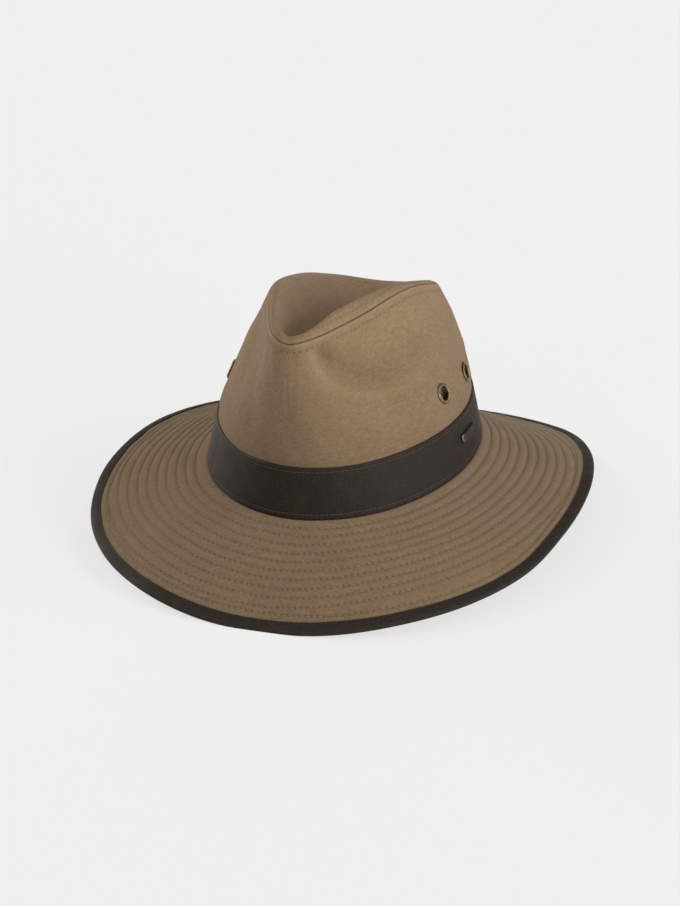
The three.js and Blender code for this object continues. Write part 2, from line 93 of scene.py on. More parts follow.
# once round the seam: angle, how high the cloth inside it rolls
RIDGE = [(0, 7.3), (15, 8), (30, 11.2), (45, 11.8), (60, 11.7), (75, 8.1), (90, 5.8), (110, 3.7),
         (140, 2.3), (180, 2.9), (220, 2.3), (250, 3.7), (275, 5.1), (300, 6.8), (330, 7.8)]
# how far forward and how high the crease along the tip runs, back to front
CREASE = [(-52, 127.4), (-30, 125.4), (0, 125.4), (35, 127.4), (62, 134.4)]
# the brim's rows of stitching: angle, first row's distance from the band, spacing
ROWS = [(0, 4.9, 6.05), (60, 5.0, 6.2), (100, 5.3, 6.35), (180, 6.3, 6.2),
        (260, 7.2, 6.5), (300, 7.6, 6.75), (335, 6.0, 6.35)]
ROW_COUNT = 10                # evenly spaced rows, before the one that follows the binding
STITCH = 3.75                 # from one stitch to the next
TOPSTITCH = 5.3               # from the seam to its row of topstitching
# patches of painted light and shade on the crown's side: angle, height on the wall, half width,
# half height, and how much paler, or darker below 0
PAINTED_LIGHT_PATCHES = [(-65, 1.55, 18, 0.25, 0.5), (-15, 1.15, 28, 0.2, -0.4), (5, 1.72, 20, 0.18, 0.4),
         (75, 1.8, 24, 0.16, 0.35)]


# ---- small functions ----
def mix(a, b, t):
    return a + (b - a) * t


def ease(t):
    t = np.clip(t, 0, 1)
    return t * t * (3 - 2 * t)


def hill(x, at, wide):
    """A smooth rise to 1 at a place, most of it within wide on both sides."""
    return np.exp(-(((x - at) / wide) ** 2))


def unit(v):
    return v / np.maximum(np.linalg.norm(v, axis=-1, keepdims=True), 1e-12)


def loop_curve(angles, values):
    """Smooth periodic curve through values given at angles, in degrees."""
    a, v = np.array(angles, float), np.array(values, float)
    ap = np.r_[a[-1] - 360, a, a[0] + 360]
    vp = np.r_[v[-1], v, v[0]]
    slope = (vp[2:] - vp[:-2]) / (ap[2:] - ap[:-2])
    ae, ve, se = np.r_[a, a[0] + 360], np.r_[v, v[0]], np.r_[slope, slope[0]]

    def at(deg):
        d = np.mod(deg, 360.0)
        i = np.clip(np.searchsorted(ae, d, side="right") - 1, 0, len(a) - 1)
        h = ae[i + 1] - ae[i]
        t = (d - ae[i]) / h
        return (ve[i] * (2 * t**3 - 3 * t**2 + 1) + se[i] * h * (t**3 - 2 * t**2 + t)
                + ve[i + 1] * (3 * t**2 - 2 * t**3) + se[i + 1] * h * (t**3 - t**2))

    return at


def once_round(table, column):
    return loop_curve([r[0] for r in table], [r[column] for r in table])


def both_sides(table, column):
    """The curve through a table's column, given from the front to the back of one side."""
    back = [(360 - r[0], *r[1:]) for r in table[-2:0:-1]]
    return once_round(table + back, column)


def waves(x, y, seed, count=7, short=25.0, long=70.0):
    """Smooth, even randomness over a surface measured in millimetres, about -1 to 1."""
    rng = np.random.default_rng(seed)
    total = np.zeros(np.broadcast(x, y).shape)
    for _ in range(count):
        size = rng.uniform(short, long)
        turn = rng.uniform(0, math.pi)
        total += np.sin(2 * math.pi * (x * math.cos(turn) + y * math.sin(turn)) / size
                        + rng.uniform(0, 6.28))
    return total / math.sqrt(count)


brim_reach, brim_edge, brim_falls = (both_sides(BRIM, k) for k in (1, 2, 3))
seam_left, seam_fore, seam_high = (once_round(SEAM, k) for k in (1, 2, 3))
row_first, row_step = (once_round(ROWS, k) for k in (1, 2))
taper_power = both_sides(TAPER, 1)
ridge_high = once_round(RIDGE, 1)


def sin_cos(deg):
    return np.sin(np.radians(deg)), np.cos(np.radians(deg))


def head_z(deg):
    """Height of the head opening, which is where the brim and the band start."""
    s, c = sin_cos(deg)
    return HEAD_Z + HEAD_SIDE_RISE * s * s - HEAD_FRONT_FALL * c


def band_tall(deg):
    return BAND_TALL - BAND_SIDE_LESS * sin_cos(deg)[0] ** 2


def outward(deg, grow=0.0):
    """Level direction away from the head opening, or from one that is larger by grow."""
    s, c = sin_cos(deg)
    return unit(np.stack([s / (HEAD_X + grow), -c / (HEAD_Y + grow), 0 * s], -1))


def leaning(x, y):
    """Level coordinates turned with the crown's top."""
    s, c = sin_cos(CROWN_LEAN)
    return c * x - s * y, s * x + c * y


def seam(deg):
    x, y = leaning(seam_left(deg), -seam_fore(deg))
    return np.stack([x, y, seam_high(deg)], -1)


def wall(deg, up):
    """The crown's side: up runs from 0 at the brim to 1 at the band's top and 2 at the seam."""
    deg, up = np.broadcast_arrays(np.asarray(deg, float), np.asarray(up, float))
    s, c = sin_cos(deg)
    foot = np.stack([HEAD_X * s, -HEAD_Y * c, head_z(deg)], -1)
    top = np.stack([BAND_TOP_X * s * (1 - BAND_TOP_EGG * c),
                    -np.where(c > 0, BAND_TOP_FRONT, BAND_TOP_BACK) * c,
                    head_z(deg) + band_tall(deg)], -1)
    u = np.clip(up - 1, 0, 1)
    g = TAPER_STRAIGHT * u + (1 - TAPER_STRAIGHT) * u ** taper_power(deg)
    end = seam(deg)
    p = mix(top, end, g[..., None])
    p[..., 2] = mix(top[..., 2], end[..., 2], u)
    side = (deg + 180) % 360 - 180
    push = sum(hill(side, k * PINCH_AT, PINCH_WIDE) for k in (-1, 1))
    push = push * PINCH_DEEP * np.maximum(0, 1 - ((u - PINCH_UP) / PINCH_TALL) ** 2) ** 2
    p = p - outward(deg) * push[..., None]
    low = mix(foot, top, np.clip(up, 0, 1)[..., None])
    return np.where((up <= 1)[..., None], low, p)


def wall_place(y, z, at, up, steps, turn_by, rise_by):
    """The angle and height at which the wall passes through y and z, from a first guess."""
    for _ in range(steps):
        p = wall(at, up)
        at += (y - p[1]) * turn_by
        up += (z - p[2]) * rise_by
    return at, up


def crease_high(fore):
    """Height of the crease, by how far forward, with an eased step between its points."""
    f = np.array([r[0] for r in CREASE], float)
    h = np.array([r[1] for r in CREASE], float)
    i = np.clip(np.searchsorted(f, fore, side="right") - 1, 0, len(f) - 2)
    return mix(h[i], h[i + 1], 1 - ease((f[i + 1] - fore) / (f[i + 1] - f[i])))


def tip(deg, into):
    """The crown's top: into runs from 0 at the seam to 1 on the crease."""
    deg, into = np.broadcast_arrays(np.asarray(deg, float), np.asarray(into, float))
    edge = seam(deg)
    fore = np.clip(seam_fore(deg), CREASE[0][0], CREASE[-1][0])
    x, y = leaning(0 * fore, -fore)
    crease = np.stack([x, y, crease_high(fore)], -1)
    far = np.hypot(edge[..., 0] - crease[..., 0], edge[..., 1] - crease[..., 1])
    p = mix(edge, crease, into[..., None])
    p[..., 2] = (mix(edge[..., 2], crease[..., 2], ease(into))
                 + ridge_high(deg) * ROLL_SCALE * into * (1 - into) ** 2
                 * np.minimum(1, far / ROLL_FULL_FROM))
    return p


def brim(deg, s):
    """The brim's middle surface: s runs from 0 at the band to 1 at the edge."""
    deg, s = np.broadcast_arrays(np.asarray(deg, float), np.asarray(s, float))
    sn, cs = sin_cos(deg)
    out = outward(deg, BRIM_OUT)
    w = brim_reach(deg)
    drop = head_z(deg) - brim_edge(deg)
    a = 2 * drop - np.tan(np.radians(brim_falls(deg))) * w
    z = head_z(deg) - a * s - (drop - a) * s * s
    return np.stack([(HEAD_X + BRIM_OUT) * sn + out[..., 0] * w * s,
                     -(HEAD_Y + BRIM_OUT) * cs + out[..., 1] * w * s, z], -1)


def surface_normal(surface, deg, v, dv, towards):
    """The unit normal of a surface of angle and v, on the side of a rough direction."""
    n = np.cross(surface(deg + 0.5, v) - surface(deg - 0.5, v),
                 surface(deg, v + dv) - surface(deg, v - dv))
    n = unit(n)
    return np.where(np.sum(n * towards, -1, keepdims=True) < 0, -n, n)


def wall_normal(deg, up):
    s, c = sin_cos(deg)
    towards = np.stack(np.broadcast_arrays(s, -c, 0.3 + 0 * s), -1)
    return surface_normal(wall, deg, np.clip(up, 0.1, 1.95), 0.03, towards)


def tip_normal(deg, into):
    return surface_normal(tip, deg, np.clip(into, 0.05, 0.93), 0.03, np.array([0, 0, 1.0]))


def brim_normal(deg, s):
    return surface_normal(brim, deg, s, 0.02, np.array([0, 0, 1.0]))


def mitre(deg):
    """From the seam's outside to its inside, between the wall and the tip."""
    m = wall_normal(deg, 1.95 + 0 * deg) + tip_normal(deg, 0.06 + 0 * deg)
    half = np.linalg.norm(m, axis=-1, keepdims=True) / 2
    return unit(m) * -WALL / half


def bind_from(deg):
    """s on the brim where the binding begins."""
    return 1 - BINDING_WIDE / np.hypot(brim_reach(deg), head_z(deg) - brim_edge(deg))


def tuck_depth(share):
    """How far the brim sinks near the band, to pass under the crown's wall."""
    return (GAP + BRIM_THICK / 2) * (1 - ease(share / 0.9))


# ---- mesh building ----
def mesh_object(name, points, faces, material, uv=None, values=None):
    """One mesh from points in millimetres and arrays of three- or four-sided faces."""
    mesh = bpy.data.meshes.new(name)
    corners = np.concatenate([f.ravel() for f in faces]).astype(np.int32)
    sizes = np.concatenate([np.full(len(f), f.shape[1]) for f in faces])
    mesh.vertices.add(len(points))
    mesh.vertices.foreach_set("co", (points * MM).astype(np.float32).ravel())
    mesh.loops.add(len(corners))
    mesh.loops.foreach_set("vertex_index", corners)
    mesh.polygons.add(len(sizes))
    mesh.polygons.foreach_set("loop_start", np.r_[0, np.cumsum(sizes)[:-1]].astype(np.int32))
    mesh.polygons.foreach_set("use_smooth", np.ones(len(sizes), bool))
    if uv is not None:
        layer = mesh.uv_layers.new(name="Weave")
        layer.data.foreach_set("uv", uv.astype(np.float32).ravel())
    for key, value in (values or {}).items():
        attribute = mesh.attributes.new(key, "FLOAT", "POINT")
        attribute.data.foreach_set("value", value.astype(np.float32).ravel())
    mesh.update(calc_edges=True)
    mesh.materials.append(material)
    obj = bpy.data.objects.new(name, mesh)
    bpy.context.scene.collection.objects.link(obj)
    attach(obj, "root")
    return obj


def ring_faces(rows, around, closed=False):
    """Four-sided faces between rings of points, with each face's row and column."""
    i, j = np.meshgrid(np.arange(rows if closed else rows - 1), np.arange(around), indexing="ij")
    i, j = i.ravel(), j.ravel()
    i2, j2 = (i + 1) % rows, (j + 1) % around
    faces = np.stack([i * around + j, i * around + j2, i2 * around + j2, i2 * around + j], 1)
    return faces, i, j


def ring_uv(i, j, across, along):
    """Weave coordinates for the faces' corners: across by row, along by column, each with an end."""
    corners = ((i, j), (i, j + 1), (i + 1, j + 1), (i + 1, j))
    return np.stack([np.stack([along[b], across[a]], -1) for a, b in corners], 1).reshape(-1, 2)


def outward_faces(points, faces):
    """Whether the faces of a closed surface face outward."""
    total = 0.0
    for k in range(1, faces.shape[1] - 1):
        a, b, c = (points[faces[:, corner]] for corner in (0, k, k + 1))
        total += np.sum(a * np.cross(b, c))
    return total >= 0


def lengths(p):
    """Distance along axis 0 of rings of points."""
    step = np.linalg.norm(np.diff(p, axis=0), axis=-1)
    return np.concatenate([np.zeros((1,) + step.shape[1:]), np.cumsum(step, 0)])


def stitches_along(path):
    """How many stitches come before each point of a closed path."""
    run = lengths(np.vstack([path, path[:1]]))
    return run[:-1] / run[-1] * round(run[-1] / STITCH)


def line_at(distance, rings, want):
    """The closed line at a wanted distance, from each point's distance on rings of points."""
    line = []
    for j, at in enumerate(np.broadcast_to(want, distance.shape[1:])):
        order = np.argsort(distance[:, j])
        line.append([np.interp(at, distance[order, j], rings[order, j, k]) for k in range(3)])
    return np.array(line)


def turned(uv, degrees):
    s, c = math.sin(math.radians(degrees)), math.cos(math.radians(degrees))
    return np.stack([uv[:, 0] * c - uv[:, 1] * s, uv[:, 0] * s + uv[:, 1] * c], 1)


def loft(name, rings, material, grain=None, values=None):
    """A closed ring-shaped mesh, from the rings of points that run round its section."""
    rows, around = rings.shape[:2]
    points = rings.reshape(-1, 3)
    faces, i, j = ring_faces(rows, around, closed=True)
    across = np.r_[lengths(rings).mean(1), 0]
    across[-1] = across[-2] + 1
    step = np.linalg.norm(np.roll(rings, -1, 1) - rings, axis=-1).mean(0)
    along = np.r_[0, np.cumsum(step)]
    uv = ring_uv(i, j, across, along)
    if grain:
        uv = turned(uv, grain)
    if not outward_faces(points, faces):
        faces = faces[:, ::-1]
        uv = uv.reshape(-1, 4, 2)[:, ::-1].reshape(-1, 2)
    return mesh_object(name, points, [faces], material, uv, values)


# one stitch: its rings' places along it, their height and their thickness, in radii
STITCH_SHARE = np.array([-0.46, -0.36, 0.0, 0.36, 0.46])
STITCH_HIGH = np.array([-1.1, 0.25, 0.75, 0.25, -1.1])
STITCH_THICK = np.array([0.55, 0.95, 1.0, 0.95, 0.55])
STITCH_SIDES = 5


def stitch_rings(points, normals, pitch, radius, sink):
    """Rings of points for every stitch along a closed path: stitch, ring, side."""
    loop = np.vstack([points, points[:1]])
    loop_normals = np.vstack([normals, normals[:1]])
    run = lengths(loop)
    count = max(4, int(round(run[-1] / pitch)))
    where = (np.arange(count)[:, None] + 0.5 + STITCH_SHARE) * (run[-1] / count)
    middle, n = (np.stack([np.interp(where, run, a[:, k]) for k in range(3)], -1)
                 for a in (loop, loop_normals))
    n = unit(n)
    forward = unit(middle[:, -1:] - middle[:, :1])
    across = unit(np.cross(n, forward))
    middle = middle + n * (STITCH_HIGH * radius - sink)[:, None]
    turn = np.arange(STITCH_SIDES)[:, None] * 2 * math.pi / STITCH_SIDES
    spoke = across[:, :, None] * np.cos(turn) + n[:, :, None] * np.sin(turn)
    return middle[:, :, None] + spoke * (radius * STITCH_THICK)[:, None, None]


def thread(name, paths, material, pitch, radius, sink):
    """One mesh of stitches along closed paths: each is points and the cloth's normals there."""
    rings = np.concatenate([stitch_rings(*path, pitch, radius, sink) for path in paths])
    rows = len(STITCH_SHARE)
    starts = np.arange(len(rings))[:, None, None] * rows * STITCH_SIDES
    tube, _, _ = ring_faces(rows, STITCH_SIDES)
    quads = (starts + tube).reshape(-1, 4)
    rim = np.arange(STITCH_SIDES)
    caps = [cap[[0, k, k + 1]] for cap in (rim[::-1], (rows - 1) * STITCH_SIDES + rim)
            for k in range(1, STITCH_SIDES - 1)]
    tris = (starts + np.array(caps)).reshape(-1, 3)
    points = rings.reshape(-1, 3)
    faces = [f if outward_faces(points, f) else f[:, ::-1] for f in (quads, tris)]
    return mesh_object(name, points, faces, material)


# ---- materials ----
class Nodes:
    """A material's node tree, written as sums of values."""

    def __init__(self, name):
        self.material = bpy.data.materials.new(name)
        self.material.use_nodes = True
        self.tree = self.material.node_tree
        self.shader = self.tree.nodes["Principled BSDF"]

    def add(self, kind, **settings):
        node = self.tree.nodes.new(kind)
        for key, value in settings.items():
            setattr(node, key, value)
        return node

    def put(self, socket, value):
        if isinstance(value, bpy.types.NodeSocket):
            self.tree.links.new(value, socket)
        elif value is not None:
            socket.default_value = value

    def math(self, operation, a, b=None):
        node = self.add("ShaderNodeMath", operation=operation)
        for socket, value in zip(node.inputs, (a, b)):
            self.put(socket, value)
        return node.outputs[0]

    def plus(self, *terms):
        total = terms[0]
        for t in terms[1:]:
            total = self.math("ADD", total, t)
        return total

    def times(self, a, b):
        return self.math("MULTIPLY", a, b)

    def share(self, value):
        """A value held between 0 and 1."""
        return self.math("MINIMUM", self.math("MAXIMUM", value, 0.0), 1.0)

    def between(self, value, low, high, to_low=0.0, to_high=1.0):
        """A value eased from one range to another, and held at its ends."""
        node = self.add("ShaderNodeMapRange", interpolation_type="SMOOTHSTEP")
        for key, v in (("Value", value), ("From Min", low), ("From Max", high),
                       ("To Min", to_low), ("To Max", to_high)):
            self.put(node.inputs[key], v)
        return node.outputs["Result"]

    def attribute(self, name):
        return self.add("ShaderNodeAttribute", attribute_name=name).outputs["Fac"]

    def weave(self):
        """Millimetres along the cloth."""
        return self.add("ShaderNodeUVMap", uv_map="Weave").outputs["UV"]

    def solid(self):
        """Millimetres in the part's frame."""
        scale = self.add("ShaderNodeVectorMath", operation="SCALE")
        self.put(scale.inputs[0], self.add("ShaderNodeTexCoord").outputs["Object"])
        scale.inputs["Scale"].default_value = 1000.0
        return scale.outputs[0]

    def noise(self, vector, sizes, detail, rough=0.5):
        """Noise from 0 to 1 with features of about these sizes along x, y and z."""
        place = self.add("ShaderNodeMapping")
        self.put(place.inputs["Vector"], vector)
        place.inputs["Scale"].default_value = [1 / size for size in sizes]
        node = self.add("ShaderNodeTexNoise")
        self.put(node.inputs["Vector"], place.outputs[0])
        for key, v in (("Scale", 1.0), ("Detail", detail), ("Roughness", rough)):
            node.inputs[key].default_value = v
        return node.outputs["Fac"]

    def wave(self, vector, size, axis):
        """A sine along one axis that repeats after size."""
        split = self.add("ShaderNodeSeparateXYZ")
        self.put(split.inputs[0], vector)
        return self.math("SINE", self.times(split.outputs[axis], 2 * math.pi / size))

    def blend(self, fac, a, b):
        node = self.add("ShaderNodeMix", data_type="RGBA")
        self.put(node.inputs["Factor"], fac)
        colour = [s for s in node.inputs if s.type == "RGBA"]
        for socket, v in zip(colour, (a, b)):
            self.put(socket, v)
        return [s for s in node.outputs if s.type == "RGBA"][0]

    def bump(self, height, distance, strength):
        node = self.add("ShaderNodeBump")
        self.put(node.inputs["Height"], height)
        node.inputs["Distance"].default_value = distance
        node.inputs["Strength"].default_value = strength
        self.put(self.shader.inputs["Normal"], node.outputs["Normal"])

    def set(self, **values):
        """The shader's inputs, by name with _ for a space."""
        for key, value in values.items():
            self.put(self.shader.inputs[key.replace("_", " ")], value)


def srgb(r, g, b):
    """A colour from its screen values, all above 10."""
    return tuple(((v / 255 + 0.055) / 1.055) ** 2.4 for v in (r, g, b)) + (1.0,)


def weave_height(n, uv, size):
    """Plain weave: over and under, as a height from -1 to 1."""
    return n.times(n.wave(uv, size, 0), n.wave(uv, size, 1))


def cotton(name, light, dark, needle):
    """Washed plain-woven cotton: slubs both ways, patches, wear and painted light from an attribute,
    needle rows with painted shade in their grooves and needle holes.
    """
    n = Nodes(name)
    uv = n.weave()
    solid = n.solid()
    warp = n.noise(uv, (0.9, 4, 1), 3, 0.6)
    weft = n.noise(uv, (7, 0.85, 1), 3, 0.6)
    patch = n.noise(solid, (26, 26, 26), 4, 0.55)
    speck = n.noise(uv, (1.7, 1.7, 1), 3, 0.7)
    weave = weave_height(n, uv, 0.62)
    fac = n.plus(n.between(warp, 0.3, 0.7, -0.13, 0.13), n.between(weft, 0.3, 0.7, -0.18, 0.18),
                 n.between(patch, 0.3, 0.7, -0.06, 0.06), n.between(speck, 0.3, 0.7, -0.17, 0.17),
                 n.times(weave, 0.10), 0.5)
    height = n.plus(n.times(weave, 0.10), n.times(warp, 0.22), n.times(weft, 0.22),
                    n.times(speck, 0.10))
    far, run = n.attribute("row_far"), n.attribute("row_run")
    groove = n.between(far, 0.25, 1.0, 1.0, 0.0)
    from_middle = n.math("ABSOLUTE", n.math("SUBTRACT", n.math("FRACT", run), 0.5))
    pit = n.times(n.between(far, 0.3, 0.95, 1.0, 0.0), n.between(from_middle, 0.30, 0.46))
    uneven = n.between(n.noise(solid, (5, 5, 5), 3), 0.35, 0.65, 0.2, 1.0)
    # painted shade in the rows' grooves and needle holes, and wear with painted light from the
    # attribute
    fac = n.plus(fac, n.times(n.attribute("wear_and_painted_light"), 0.35), n.times(n.times(groove, uneven), -0.20),
                 n.times(n.times(pit, uneven), -needle))
    height = n.plus(height, n.times(pit, -1.0))
    n.set(Base_Color=n.blend(n.share(fac), dark, light))
    n.bump(height, 0.0004, 0.8)
    n.set(Roughness=0.88, Sheen_Weight=0.06, Sheen_Roughness=0.6, Specular_IOR_Level=0.2)
    return n.material


def waxed(name, light, dark, patchy=1.0):
    """Dark waxed cotton: tight weave, rubbed lighter patches, a soft waxy gloss."""
    n = Nodes(name)
    uv = n.weave()
    solid = n.solid()
    warp = n.noise(uv, (0.6, 9, 1), 3, 0.6)
    weft = n.noise(uv, (9, 0.6, 1), 3, 0.6)
    patch = n.noise(solid, (18, 18, 18), 5, 0.6)
    weave = weave_height(n, uv, 0.7)
    rub = n.between(patch, 0.38, 0.75, -0.10 * patchy, 0.25 * patchy)
    speck = n.noise(uv, (1.5, 1.5, 1), 3, 0.7)
    fac = n.plus(n.between(warp, 0.3, 0.7, -0.2, 0.2), n.between(weft, 0.3, 0.7, -0.2, 0.2),
                 n.between(speck, 0.3, 0.7, -0.3, 0.3), rub, n.times(weave, 0.12),
                 n.times(n.attribute("wear_and_painted_light"), 0.6), 0.3)
    # painted shade in the grooves along the rows of stitches
    groove = n.between(n.attribute("row_far"), 0.2, 0.8, 1.0, 0.0)
    fac = n.plus(fac, n.times(groove, -0.25))
    n.set(Base_Color=n.blend(n.share(fac), dark, light))
    n.bump(n.plus(n.times(weave, 0.14), n.times(warp, 0.2), n.times(weft, 0.2)), 0.0004, 0.7)
    n.set(Roughness=n.between(patch, 0.3, 0.7, 0.55, 0.7), Specular_IOR_Level=0.22)
    return n.material


def sewing_thread(name, light, dark):
    """Spun cotton thread, with its twist as fine light and dark."""
    n = Nodes(name)
    twist = n.noise(n.solid(), (0.25, 0.25, 0.25), 2)
    n.set(Base_Color=n.blend(twist, dark, light))
    n.bump(twist, 0.0001, 0.6)
    n.set(Roughness=0.7, Sheen_Weight=0.1, Specular_IOR_Level=0.3)
    return n.material


def old_metal(name, bright, dull, size, roughness):
    """Antique metal: dull in its recesses, rubbed bright on its high places, and bright where a
    highlight is painted.
    """
    n = Nodes(name)
    solid = n.solid()
    patch = n.noise(solid, (size, size, size), 6, 0.65)
    fine = n.noise(solid, (0.35, 0.35, 0.35), 3)
    fac = n.plus(n.between(patch, 0.35, 0.65, -0.2, 0.2), n.attribute("wear_and_painted_light"))
    n.set(Base_Color=n.blend(n.share(fac), dull, bright))
    n.set(Metallic=0.8, Roughness=n.between(patch, 0.3, 0.7, roughness - 0.08, roughness + 0.12))
    n.bump(fine, 0.0001, 0.35)
    return n.material


khaki = cotton("crown_cotton", srgb(144, 119, 91), srgb(107, 88, 65), 1.5)
brim_khaki = cotton("brim_cotton", srgb(136, 113, 86), srgb(100, 83, 61), 0.6)
band_wax = waxed("band_waxed_cotton", srgb(51, 41, 30), srgb(26, 21, 14))
bind_wax = waxed("binding_waxed_cotton", srgb(49, 42, 33), srgb(28, 23, 17), 0.6)
band_thread = sewing_thread("band_thread", srgb(92, 78, 62), srgb(62, 52, 41))
khaki_thread = sewing_thread("khaki_thread", srgb(150, 128, 98), srgb(118, 98, 72))
dark_thread_and_seam_shade = sewing_thread("dark_thread_and_seam_shade", srgb(58, 50, 42), srgb(34, 29, 24))
brass = old_metal("antique_brass", (0.40, 0.32, 0.16, 1), (0.04, 0.031, 0.019, 1), 2.5, 0.38)
plate_metal = old_metal("dark_metal", (0.30, 0.25, 0.18, 1), (0.025, 0.02, 0.016, 1), 5.0, 0.5)


# ---- the eyelets ----
# which, how far back, how high, and 1 on the wearer's left or -1 on the right
EYELETS = [("left_front", -12.7, 95.6, 1), ("left_back", 27.0, 93.0, 1),
           ("right_front", -12.5, 97.2, -1), ("right_back", 27.0, 94.0, -1)]
# radius, height above the cloth, share of the notches' depth, how bright it is rubbed
EYELET_SECTION = [
    (4.45, -3.4, 0, 0.0), (4.45, -0.4, 0, 0.0), (4.5, 0.35, 0, 0.15), (4.62, 0.85, 0.1, 0.6),
    (4.8, 1.2, 0.6, 0.85), (5.02, 1.38, 0.8, 0.9), (5.28, 1.4, 0.8, 0.8), (5.5, 1.25, 0.6, 0.5),
    (5.68, 1.05, 0.1, 0.1), (5.82, 0.97, 0, 0.05), (6.02, 1.03, 0, 0.35), (6.22, 0.98, 0, 0.45),
    (6.42, 0.78, 0, 0.3), (6.52, 0.5, 0, 0.05), (6.5, 0.15, 0, 0.0), (6.2, 0.0, 0, 0.0),
    (5.3, 0.0, 0, 0.0), (4.95, -0.1, 0, 0.0), (4.85, -2.2, 0, 0.0), (5.6, -2.35, 0, 0.0),
    (5.9, -2.8, 0, 0.2), (5.3, -3.35, 0, 0.3), (4.75, -3.5, 0, 0.2),
]
EYELET_AROUND = 108
NOTCHES = 18
NOTCH_DEEP = 0.42
EYELET_HOLE = 5.3             # radius of the hole in the cloth


def eyelet(name, spot, n):
    """A brass ring pair, turned round the hole's axis, with notches round its rolled lip."""
    level = unit(np.cross(np.array([0, 0, 1.0]), n))
    upright = np.cross(n, level)
    turn = np.arange(EYELET_AROUND) * 2 * math.pi / EYELET_AROUND
    radius, height, notched, rubbed_and_highlit = np.array(EYELET_SECTION).T[:, :, None]
    notch = np.maximum(np.cos(turn * NOTCHES), 0)
    height = height - NOTCH_DEEP * notched * notch**2
    spoke = np.cos(turn)[:, None] * level + np.sin(turn)[:, None] * upright
    rings = spot + radius[..., None] * spoke + height[..., None] * n
    wear_and_painted_light = rubbed_and_highlit * (1 - 0.75 * notch * (notched > 0.1))
    obj = loft(name, rings, brass, values={"wear_and_painted_light": wear_and_painted_light})
    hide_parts(name.replace("brass_", ""))


holes = []
for tag, y, z, sign in EYELETS:
    at, up = wall_place(y, z, 90.0 * sign, 1.2, 60, 0.5 * sign, 0.008)
    spot, n = wall(at, up), wall_normal(at, np.asarray(up))
    holes.append((spot, n))
    eyelet("brass_eyelet_" + tag, spot, n)

# ---- crown, the side ----
AROUND = 480
QUIET = 50.0                  # a distance from the rows of stitching at which none shows
GIRTH_R = 90.0                # the crown's mean radius, for lengths round it
deg = np.arange(AROUND) * 360.0 / AROUND
close = np.linspace(0, 1, 27)
ups = np.concatenate([np.linspace(0, 1, 9), np.linspace(1, 1.9, 50)[1:],
                      1.9 + 0.0994 * close[1:] ** 0.8])
side_base = wall(deg, ups[:, None])
side_out = wall_normal(deg, ups[:, None] + 0 * deg)
run_up = lengths(side_base)
far = run_up[-1] - run_up     # distance from the seam
stitch_run = stitches_along(side_base[-1])
along = np.radians(deg) * GIRTH_R + 0 * far
seam_in = mitre(deg)


def seam_relief(far):
    """Height of the cloth by its distance from the felled seam with its row of topstitching."""
    lift = 0.16 * (1 - ease((far - TOPSTITCH + 0.5) / 1.6)) * ease(far / 2.0)
    groove = -0.24 * hill(far, TOPSTITCH, 0.6)
    pucker = 0.06 * np.cos(2 * math.pi * stitch_run) * hill(far, TOPSTITCH, 1.6)
    return lift + groove + pucker


def seam_roll(far):
    """How the cloth rolls down into the seam at its very edge."""
    return unit(seam_in) * (0.55 * np.clip(1 - far / 0.7, 0, 1) ** 2)[..., None]


def turned_from(at):
    """The angle of each column from one angle, between -180 and 180."""
    return (deg - at + 180) % 360 - 180


def valley(side):
    """The soft valley beside the front: its depth, its outer edge and its hollow, 0 to 1."""
    back = side * deg - VALLEY_AT
    down = VALLEY_TOP - ups[:, None]
    reach = np.hypot(back / VALLEY_WIDE, down / VALLEY_TALL)
    width = 0.17 + 0.16 * (down / VALLEY_TALL / (reach + 0.01)) ** 2
    fade = ease((24 - back) / 30) * ease((down + 0.02) / 0.12) * (np.abs(back) < 60)
    return fade * hill(reach, 1, width), fade * hill(reach, 1.23, 0.10), fade * hill(reach, 0.90, 0.20)


def side_surfaces():
    """The side's outer and inner face, swollen over the band, pinched and turned in at the seam."""
    # along the wall the band ends at about 33
    clear = ease((run_up - 34) / 20) * ease(far / 12)
    swell = 0.55 * ease((run_up - 33.5) / 3.0) * (1 - ease((run_up - 37.5) / 11.0))
    ripple = 0.32 * waves(along, run_up, 11) + 0.10 * waves(along, run_up, 12, 9, 9, 22)
    pinches = -VALLEY_DEEP_LEFT * valley(1)[0] - VALLEY_DEEP_RIGHT * valley(-1)[0]
    relief = seam_relief(far) + swell + pinches + ripple * clear
    outer = side_base + side_out * relief[..., None] + seam_roll(far)
    inner = side_base + side_out * (pinches - WALL)[..., None]
    inner[-1] = side_base[-1] + seam_in
    return outer, inner


def side_tone_and_painted_light():
    """Painted highlights on the seam's rolled edge, the brow and the valley's edge, painted shade in
    the seam, the valley's hollow and above the band, painted light near the seam, painted light and
    shade patches, and random tone.
    """
    _, edge, hollow = valley(1)
    brow = hill(turned_from(0), 0, 26)
    # painted highlight on the seam's rolled edge and the brow, painted shade in the seam and above the
    # band, painted light within 16 mm of the seam, random tone, and a painted highlight on the
    # valley's edge with painted shade in its hollow
    wear_and_painted_light = (0.7 * hill(far, 1.4, 0.7) - 0.7 * hill(far, 0, 0.3) + 0.35 * hill(far, 0, 16)
            + 1.1 * brow * hill(far, 1.2, 1.0) + 0.10 * waves(along, run_up, 13)
            - 0.6 * hill(np.maximum(run_up - 30, 0), 0, 24) + 0.7 * edge - 0.6 * hollow)
    # patches of painted light and shade
    for at, up_at, wide, tall, amount in PAINTED_LIGHT_PATCHES:
        away = np.hypot(turned_from(at) / wide, (ups[:, None] - up_at) / tall)
        wear_and_painted_light = wear_and_painted_light + amount * hill(away, 0, 1)
    return wear_and_painted_light


